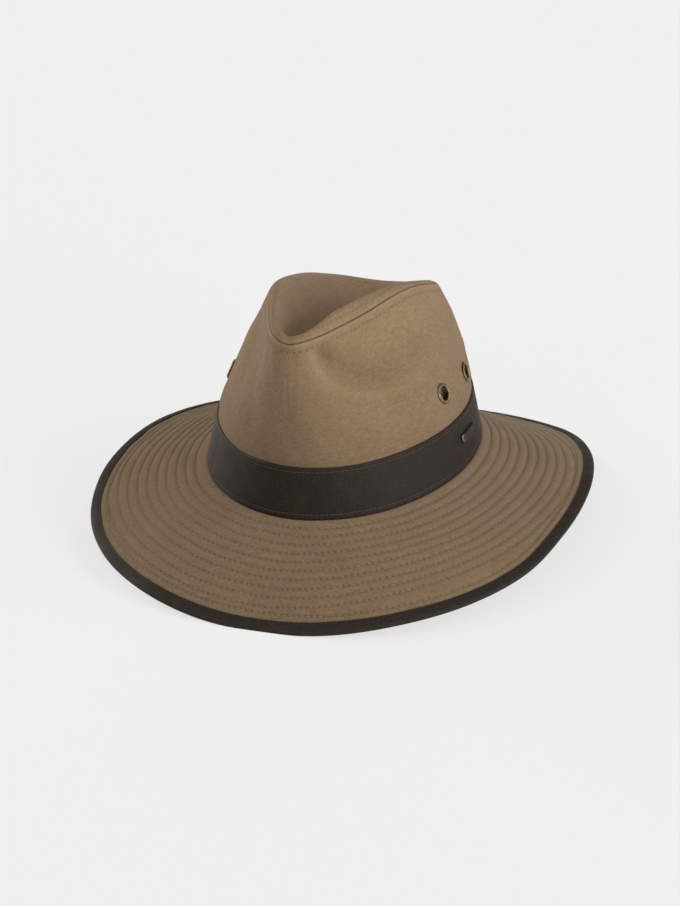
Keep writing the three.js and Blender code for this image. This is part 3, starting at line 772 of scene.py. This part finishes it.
def cut_holes(faces, points, rows):
    """Which faces stay round the eyelets, and the faces that line each hole's rim."""
    centre = points[faces].mean(1)
    cut = np.zeros(len(faces), bool)
    for spot, n in holes:
        away = centre - spot
        high = away @ n
        cut |= (np.linalg.norm(away - high[:, None] * n, axis=1) < EYELET_HOLE) & (abs(high) < 6)
    gone = cut.reshape(rows - 1, AROUND)
    # for each side of a face: the way to its neighbour, and the side's two corners
    sides = [((0, -1), (0, 0), (1, 0)), ((0, 1), (1, 1), (0, 1)),
             ((-1, 0), (0, 1), (0, 0)), ((1, 0), (1, 0), (1, 1))]
    lining = []
    for way, start, end in sides:
        row, column = np.nonzero(np.roll(gone, (-way[0], -way[1]), (0, 1)) & ~gone)
        one = (row + start[0]) * AROUND + (column + start[1]) % AROUND
        two = (row + end[0]) * AROUND + (column + end[1]) % AROUND
        lining.append(np.stack([one, two, two + rows * AROUND, one + rows * AROUND], 1))
    return ~cut, lining


def dress_crown_side():
    """The crown's wall: two faces of cloth, closed at the foot, the seam and the eyelets."""
    outer, inner = side_surfaces()
    rows = len(ups)
    count = rows * AROUND
    points = np.vstack([outer.reshape(-1, 3), inner.reshape(-1, 3)])
    faces, row, column = ring_faces(rows, AROUND)
    keep, lining = cut_holes(faces, points, rows)
    foot = np.arange(AROUND)
    top = foot + (rows - 1) * AROUND
    foot_next, top_next = np.roll(foot, -1), np.roll(top, -1)
    rims = [np.stack([top, top_next, top_next + count, top + count], 1),
            np.stack([foot_next, foot, foot + count, foot_next + count], 1)]
    all_faces = np.vstack([faces[keep], faces[keep][:, ::-1] + count] + lining + rims)
    uv = ring_uv(row, column, run_up.mean(1), np.r_[along[0], 2 * math.pi * GIRTH_R])
    uv = uv.reshape(-1, 4, 2)[keep]
    plain = np.zeros((4 * (len(all_faces) - 2 * keep.sum()), 2))
    uv = np.concatenate([uv.reshape(-1, 2), uv[:, ::-1].reshape(-1, 2), plain])
    runs = stitch_run + 0 * far
    wear_and_painted_light = side_tone_and_painted_light()
    values = {"row_far": np.concatenate([abs(far - TOPSTITCH), 0 * far + QUIET]),
              "row_run": np.concatenate([runs, runs]),
              "wear_and_painted_light": np.concatenate([wear_and_painted_light, 0 * wear_and_painted_light])}
    crown_wall = mesh_object("crown_side_cloth", points, [all_faces], khaki, uv, values)
    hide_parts("crown_side")
    return outer


# ---- crown, the top ----
into = np.concatenate([0.0006 + 0.28 * close**1.15, np.linspace(0.28, 0.985, 40)[1:]])
tip_base = tip(deg, into[:, None])
tip_out = tip_normal(deg, into[:, None] + 0 * deg)
tip_far = lengths(tip_base)   # distance from the seam


def zipped(start):
    """Faces across the last narrow ring, from one side of the crease to the other."""
    j = np.arange(1, AROUND // 2 - 1)
    quads = start + np.stack([j, j + 1, AROUND - j - 1, AROUND - j], 1)
    ends = start + np.array([[0, 1, AROUND - 1], [AROUND // 2 - 1, AROUND // 2, AROUND // 2 + 1]])
    return quads, ends


def dress_crown_top():
    """The teardrop panel: its outside, and an inside with fewer rings."""
    outer = tip_base + tip_out * seam_relief(tip_far)[..., None] + seam_roll(tip_far)
    picked = np.r_[0, np.arange(8, len(into), 6), len(into) - 1]
    inward = tip_out.copy()
    inward[..., 2] = np.maximum(inward[..., 2], 0.6)
    inner = (tip_base - unit(inward) * WALL)[picked]
    inner[0] = tip_base[0] + seam_in
    rings = np.concatenate([inner[::-1], outer])
    points = rings.reshape(-1, 3)
    faces, _, _ = ring_faces(len(rings), AROUND)
    top_quads, top_ends = zipped((len(rings) - 1) * AROUND)
    low_quads, low_ends = zipped(0)
    quads = np.vstack([faces, top_quads, low_quads[:, ::-1]])
    tris = np.vstack([top_ends, low_ends[:, ::-1]])
    if not outward_faces(points, faces):
        quads, tris = quads[:, ::-1], tris[:, ::-1]
    uv = points[np.concatenate([quads.ravel(), tris.ravel()])][:, :2]
    seam_far = np.concatenate([np.full((len(picked), AROUND), QUIET), tip_far])
    # painted highlight on the seam's rolled edge, painted shade in the seam, and painted light on the
    # strip about 6 mm inside it
    wear_and_painted_light = (0.45 * hill(seam_far, 1.5, 0.7) - 0.8 * hill(seam_far, 0, 0.3)
            + 0.25 * hill(seam_far, 6.0, 2.5))
    values = {"row_far": abs(seam_far - TOPSTITCH), "row_run": stitch_run + 0 * seam_far, "wear_and_painted_light": wear_and_painted_light}
    crown_top = mesh_object("crown_top_cloth", points, [quads, tris], khaki, uv, values)
    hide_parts("crown_tip")
    return outer


side_face = dress_crown_side()
top_face = dress_crown_top()
topstitched = [(line_at(gap, face, TOPSTITCH), unit(line_at(gap, out, TOPSTITCH)))
               for gap, face, out in ((far, side_face, side_out), (tip_far, top_face, tip_out))]
thread("crown_topstitching", topstitched, khaki_thread, STITCH, 0.28, 0.12)
# dark stitches along the seam's valley, dark to paint the valley's shade as a dashed dark line
in_seam = [((side_face[-1] + top_face[0]) / 2, unit(side_out[-1] + tip_out[0]))]
thread("seam_stitching", in_seam, dark_thread_and_seam_shade, 2.3, 0.16, -0.12)

# ---- the brim ----
BRIM_AROUND = 600
bdeg = np.arange(BRIM_AROUND) * 360.0 / BRIM_AROUND
fine = np.linspace(0, 1, 400)
slant = lengths(brim(bdeg, fine[:, None]))   # distance from the band along the brim
bound_from = slant[-1] - BINDING_WIDE              # where the binding covers it
edge_row = bound_from - 3.6                        # the last row follows the binding
row_lines = [row_first(bdeg) + k * row_step(bdeg) for k in range(ROW_COUNT)]
row_lines[-1] = np.minimum(row_lines[-1], edge_row)
row_lines.append(edge_row)


def brim_share(distance):
    """s on the brim, for distances from the band with one column for each angle."""
    return np.stack([np.interp(distance[..., j], slant[:, j], fine) for j in range(BRIM_AROUND)], -1)


row_runs = np.array([stitches_along(brim(bdeg, brim_share(line))) for line in row_lines])


def brim_layer(side, count, puff, deep):
    """One ply of the brim, from under the crown's wall to inside the binding."""
    distance = (bound_from + 3.0) * np.linspace(0, 1, count)[:, None]
    s = brim_share(distance)
    base = brim(bdeg, s)
    n = brim_normal(bdeg, s)
    gaps = np.stack([abs(distance - line) for line in row_lines])
    near = gaps.min(0)
    quilted = puff * (1 - hill(near, 0, 2.0)) - deep * hill(near, 0, 0.62)
    thick = mix(BRIM_THICK, BRIM_EDGE_THICK, ease((distance - bound_from + 1.5) / 2.0))
    ripple = 0.22 * waves(base[..., 0], base[..., 1], 21, 9, 22, 60) * ease(distance / 12)
    points = base + n * (side * (thick / 2 + quilted) + ripple)[..., None]
    points[..., 2] -= tuck_depth(s / bind_from(bdeg))
    return points, near, row_runs[gaps.argmin(0), np.arange(BRIM_AROUND)], distance


def with_tuck(values, value):
    """One more ring of values, for the ring that is tucked under the crown's wall."""
    return np.concatenate([np.full((1, BRIM_AROUND), value), values])


def dress_brim():
    """Both plies of the brim in one closed mesh, and its rows of stitching."""
    top, top_near, top_runs, distance = brim_layer(1, 116, 0.34, 0.42)
    low, low_near, low_runs, _ = brim_layer(-1, 44, 0.25, 0.3)
    tuck = wall(bdeg, 0 * bdeg) - outward(bdeg) * WALL - np.array([0, 0, GAP])
    tuck_low = tuck - np.array([0, 0, BRIM_THICK])
    rings = np.concatenate([low[::-1], tuck_low[None], tuck[None], top])
    points = rings.reshape(-1, 3)
    faces, _, _ = ring_faces(len(rings), BRIM_AROUND, closed=True)
    if not outward_faces(points, faces):
        faces = faces[:, ::-1]
    # painted shade: the cloth is darker within about 2 mm of each row of stitching
    wear_and_painted_light = 0.16 * ease((top_near - 0.8) / 1.6)
    values = {key: np.concatenate([with_tuck(under, value)[::-1], with_tuck(over, value)])
              for key, over, under, value in (("row_far", top_near, low_near, QUIET),
                                              ("row_run", top_runs, low_runs, 0.0),
                                              ("wear_and_painted_light", wear_and_painted_light, 0 * low_near, 0.0))}
    brim_cloth = mesh_object("brim_cloth", points, [faces], brim_khaki,
                             points[faces.ravel()][:, :2], values)
    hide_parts("brim")
    paths = [(line_at(distance, top, line), brim_normal(bdeg, brim_share(line))) for line in row_lines]
    thread("brim_stitching", paths, khaki_thread, STITCH, 0.24, 0.12)


dress_brim()

# ---- the binding ----
BIND_THIN = BRIM_EDGE_THICK / 2 + 0.12   # from the brim's middle to the strip's inside
BIND_COVER = 0.85                        # the strip's thickness
BIND_ROUND = 1.6                         # how far in from the edge it starts to turn round it
BIND_STEPS = 22
BIND_SEWN = 4                            # the step that the stitches run on


def binding_sections(wide):
    """Round the folded strip: distance in from the brim's edge, height from its middle."""
    face = []
    for t in np.linspace(0, 1, BIND_STEPS):
        bulge = 0.10 * math.sin(math.pi * t) - 0.22 * hill(t, 0.2, 0.05)
        fold = 0.35 * (1 - min(1, t / 0.04)) ** 2
        face.append((mix(wide, BIND_ROUND, t), BIND_THIN + BIND_COVER + bulge - fold))
    edge = [(BIND_ROUND * (1 - math.sin(a)), (BIND_THIN + BIND_COVER) * math.cos(a))
            for a in np.linspace(0, math.pi, 13)[1:-1]]
    under = [(inward, -high) for inward, high in face[::-1]]
    inside = [(wide + 0.05, -BIND_THIN), (wide - 0.6, -BIND_THIN), (3.0, -BIND_THIN)]
    return face + edge + under + inside + [(inward, -high) for inward, high in inside[::-1]]


def binding():
    """The strip folded over the brim's edge, and the stitches along its top."""
    wide = (1 - bind_from(bdeg) - 0.012) * brim_reach(bdeg)
    sections = binding_sections(wide)
    crumple = 0.13 * waves(bdeg * 2.6, 0 * bdeg, 31, 12, 7, 26)
    wander = 0.16 * waves(bdeg * 2.6, 0 * bdeg, 32, 9, 18, 60)
    rings = []
    for inward, high in sections:
        loose = np.clip((inward + 0 * bdeg - 4) / 5, 0, 1)
        s = 1 - (inward + wander * loose) / brim_reach(bdeg)
        crumples = abs(high) > BIND_THIN + 0.3     # not inside the fold, nor on the very edge
        lift = crumple * (0.3 + 0.7 * loose) * np.sign(high) * crumples
        p = brim(bdeg, s) + brim_normal(bdeg, s) * (high + lift)[:, None]
        p[:, 2] = np.maximum(p[:, 2], 0)
        rings.append(p)
    mean_in = np.array([np.mean(inward) for inward, _ in sections])[:, None]
    sewn = sections[BIND_SEWN][0]
    groove = abs(mean_in - mix(wide, BIND_ROUND, 0.2).mean())
    wear_and_painted_light = 0.5 * hill(mean_in, 1.0, 1.2) + 0.35 * hill(mean_in, wide.mean(), 0.6)
    one = np.ones((1, BRIM_AROUND))
    obj = loft("brim_binding_cloth", np.array(rings), bind_wax, grain=45,
               values={"row_far": groove * one, "wear_and_painted_light": wear_and_painted_light * one})
    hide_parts("brim_binding")
    path = (rings[BIND_SEWN], brim_normal(bdeg, 1 - sewn / brim_reach(bdeg)))
    thread("binding_stitching", [path], dark_thread_and_seam_shade, 3.2, 0.2, 0.05)


binding()

# ---- the band ----
BAND_NEAR = 0.12              # from the crown's wall to the band's inside
BAND_TO = 0.975               # how far up the lower wall the band reaches
BAND_ROW_TOP = 2.6            # the upper row of stitches, from the band's top
BAND_ROW_FOOT = 3.4           # and the lower row, from its foot


def band():
    """The band: uneven outside, flat inside, with a row of stitches along each edge."""
    up = np.linspace(0, BAND_TO, 46)[:, None]
    inside_up = np.linspace(BAND_TO, 0, 10)[:, None]
    low = up * band_tall(deg)
    high = (BAND_TO - up) * band_tall(deg)
    n = outward(deg)
    arc = np.radians(deg) * 92
    body = 0.16 * waves(arc, low, 41, 9, 20, 70) + 0.05 * waves(arc, low, 42, 9, 7, 16)
    grooves = 0.24 * hill(low, BAND_ROW_FOOT, 0.5) + 0.24 * hill(high, BAND_ROW_TOP, 0.5)
    rounding = 0.55 * (np.clip(1 - low / 0.9, 0, 1) ** 2 + np.clip(1 - high / 0.9, 0, 1) ** 2)
    height = BAND_NEAR + mix(1.65, 0.95, up) + body - grooves - rounding
    outer = wall(deg, up) + n * height[..., None]
    inside = wall(deg, inside_up) + n * BAND_NEAR
    lip = 0.25 * waves(arc, 0 * arc, 43, 9, 30, 90)
    outer[-3:, :, 2] += lip
    inside[0, :, 2] += lip
    row_far = np.minimum(abs(low - BAND_ROW_FOOT), abs(high - BAND_ROW_TOP))
    row_far = np.concatenate([row_far, np.full((len(inside_up), AROUND), QUIET)])
    wear_and_painted_light = 0.45 * hill(high, 0, 0.9) + 0.3 * hill(low, 0, 0.8)
    wear_and_painted_light = np.concatenate([wear_and_painted_light, np.zeros((len(inside_up), AROUND))])
    obj = loft("hat_band_cloth", np.concatenate([outer, inside]), band_wax,
               values={"row_far": row_far, "wear_and_painted_light": wear_and_painted_light})
    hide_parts("hat_band")
    paths = [(line_at(low, outer, BAND_ROW_FOOT), n), (line_at(high, outer, BAND_ROW_TOP), n)]
    thread("band_stitching", paths, band_thread, 3.0, 0.2, 0.04)


band()

# ---- the plate ----
PLATE_CORNER = 1.6
PLATE_NEAR = BAND_NEAR + BAND_THICK + 0.55   # from the crown's wall to the plate's back
PLATE_STEPS_LONG = 49
PLATE_STEPS_TALL = 21


def on_band(x, y, height):
    """Points of the plate over the band, from flat coordinates and heights."""
    points = []
    for dx, dy, h in zip(x.ravel(), y.ravel(), height.ravel()):
        at, up = wall_place(PLATE_Y + dx, PLATE_Z + dy, 90.0, 0.5, 14, 0.6, 1 / 32)
        points.append(wall(at, up) + outward(np.asarray(at)) * (PLATE_NEAR + h))
    return np.array(points)


def drawn_corners(spots, half):
    """A rectangle's points drawn in, so that its corners are round."""
    past = abs(spots) - (half - PLATE_CORNER)
    shrink = past.max(0) / np.maximum(np.hypot(*past), 1e-6)
    drawn = np.sign(spots) * (half - PLATE_CORNER + past * shrink)
    return np.where((past > 0).all(0), drawn, spots)


def plate_faces():
    """The plate's front, its back turned round, and its four sides."""
    total = PLATE_STEPS_LONG * PLATE_STEPS_TALL
    number = np.arange(total).reshape(PLATE_STEPS_LONG, PLATE_STEPS_TALL)
    front = np.stack([number[:-1, :-1], number[1:, :-1], number[1:, 1:], number[:-1, 1:]], -1)
    front = front.reshape(-1, 4)
    border = np.concatenate([number[:, 0], number[-1, 1:], number[-2::-1, -1], number[0, -2:0:-1]])
    after = np.roll(border, -1)
    side = np.stack([after, border, border + total, after + total], 1)
    return np.vstack([front, front[:, ::-1] + total, side])


def plate():
    """The blank metal plate: a raised rim, a bevel and a rivet at each end."""
    half = np.array([PLATE_LONG, PLATE_TALL])[:, None, None] / 2
    steps = (np.linspace(-1, 1, count) for count in (PLATE_STEPS_LONG, PLATE_STEPS_TALL))
    share = np.array(np.meshgrid(*steps, indexing="ij"))
    x, y = drawn_corners(share * half, half)
    edge = (half * (1 - abs(share))).min(0)
    rim = 0.22 * hill(edge, 0.75, 0.3)
    bevel = 0.35 * np.clip(1 - edge / 0.45, 0, 1) ** 2
    rivets = 0 * x
    for end in (-1, 1):
        away = np.hypot(x - end * (PLATE_LONG / 2 - 2.4), y)
        rivets += 0.3 * np.sqrt(np.clip(1 - (away / 0.8) ** 2, 0, 1)) - 0.12 * hill(away, 1.05, 0.2)
    # painted highlight: the bright wear on the rim, edges and rivets shows fully only at the plate's
    # front end
    rubbed_and_highlit = 0.12 + 0.88 * np.clip((-x - PLATE_LONG / 2 + 3.6) / 2.4, 0, 1)
    wear_and_painted_light = (0.9 * hill(edge, 0, 0.5) + 0.5 * (rim > 0.1) + 0.6 * (rivets > 0.1)) * rubbed_and_highlit
    points = np.vstack([on_band(x, y, PLATE_THICK + rim - bevel + rivets), on_band(x, y, 0 * x)])
    faces = plate_faces()
    if not outward_faces(points - points.mean(0), faces):
        faces = faces[:, ::-1]
    obj = mesh_object("band_plate_metal", points, [faces], plate_metal, None,
                      {"wear_and_painted_light": np.concatenate([wear_and_painted_light.ravel(), 0 * wear_and_painted_light.ravel()])})
    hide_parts("band_plate")


plate()

# ---- floor, light and camera ----
scene = bpy.context.scene
scene.view_settings.view_transform = "Standard"
FLOOR_HALF = 6.0
WHITE = (1.0, 1.0, 1.0)
WARM = (1.0, 0.95, 0.86)
# angle from the front towards +X, height above the horizon, strength, colour
LIGHTS = [
    ("right_low", 60, 10, 1.15, WHITE), ("right_side", 85, 10, 1.20, WHITE),
    ("right_high", 85, 35, 0.81, WHITE), ("right_front", 30, 55, 0.38, WHITE),
    ("right_back", 115, 50, 0.42, WHITE), ("overhead", 0, 82, 0.15, WHITE),
    ("left_front", -45, 55, 0.20, WARM), ("left_high", -80, 45, 0.55, WARM),
    ("left_low", -110, 15, 1.70, WARM), ("front", -20, 42, 0.24, WHITE),
    ("back", -170, 25, 0.28, WHITE),
]
LIGHT_SOFT = 35               # each light's width in degrees
CAM_TURN, CAM_HIGH, CAM_ROLL = 20.44, 26.21, -2.79
CAM_FAR, CAM_LENS = 1.620, 100.24
CAM_LEFT, CAM_UP = 0.0040, 0.0051
LOOK_AT = Vector((0, 0, 0.0342))


def direction(turn, high):
    """Towards a place at an angle from the front and a height above the horizon."""
    a, e = math.radians(turn), math.radians(high)
    return Vector((math.sin(a) * math.cos(e), -math.cos(a) * math.cos(e), math.sin(e)))


def white_floor():
    pale = Nodes("pale_floor")
    pale.set(Base_Color=(0.2, 0.2, 0.2, 1), Roughness=0.9, Specular_IOR_Level=0.0,
             Emission_Color=(1.0, 1.0, 1.0, 1), Emission_Strength=0.685)
    mesh = bpy.data.meshes.new("floor")
    corners = [(-1, -1), (1, -1), (1, 1), (-1, 1)]
    mesh.from_pydata([(x * FLOOR_HALF, y * FLOOR_HALF, 0) for x, y in corners], [], [(0, 1, 2, 3)])
    mesh.materials.append(pale.material)
    floor = bpy.data.objects.new("floor", mesh)
    floor.location.z = -0.0002
    scene.collection.objects.link(floor)


def studio_light():
    world = bpy.data.worlds.new("studio")
    world.use_nodes = True
    background = world.node_tree.nodes["Background"]
    background.inputs["Color"].default_value = (1.0, 1.0, 1.0, 1)
    background.inputs["Strength"].default_value = 0.02
    scene.world = world
    for name, turn, high, power, colour in LIGHTS:
        data = bpy.data.lights.new(name, "SUN")
        data.energy = power
        data.color = colour
        data.angle = math.radians(LIGHT_SOFT)
        away = direction(turn, high)
        lamp = bpy.data.objects.new(name, data)
        lamp.location = away * 3
        lamp.rotation_euler = away.to_track_quat("Z", "Y").to_euler()
        scene.collection.objects.link(lamp)


def studio_camera():
    data = bpy.data.cameras.new("camera")
    data.lens = CAM_LENS
    data.sensor_width = 36.0
    data.clip_end = 50
    back = direction(CAM_TURN, CAM_HIGH)
    level = Vector((math.cos(math.radians(CAM_TURN)), math.sin(math.radians(CAM_TURN)), 0))
    roll = math.radians(CAM_ROLL)
    upright = back.cross(level)
    across = level * math.cos(roll) + upright * math.sin(roll)
    upward = upright * math.cos(roll) - level * math.sin(roll)
    place = LOOK_AT + back * CAM_FAR - across * CAM_LEFT + upward * CAM_UP
    camera = bpy.data.objects.new("camera", data)
    turn = Matrix((across, upward, back)).transposed().to_4x4()
    camera.matrix_world = Matrix.Translation(place) @ turn
    scene.collection.objects.link(camera)
    scene.camera = camera


white_floor()
studio_light()
studio_camera()
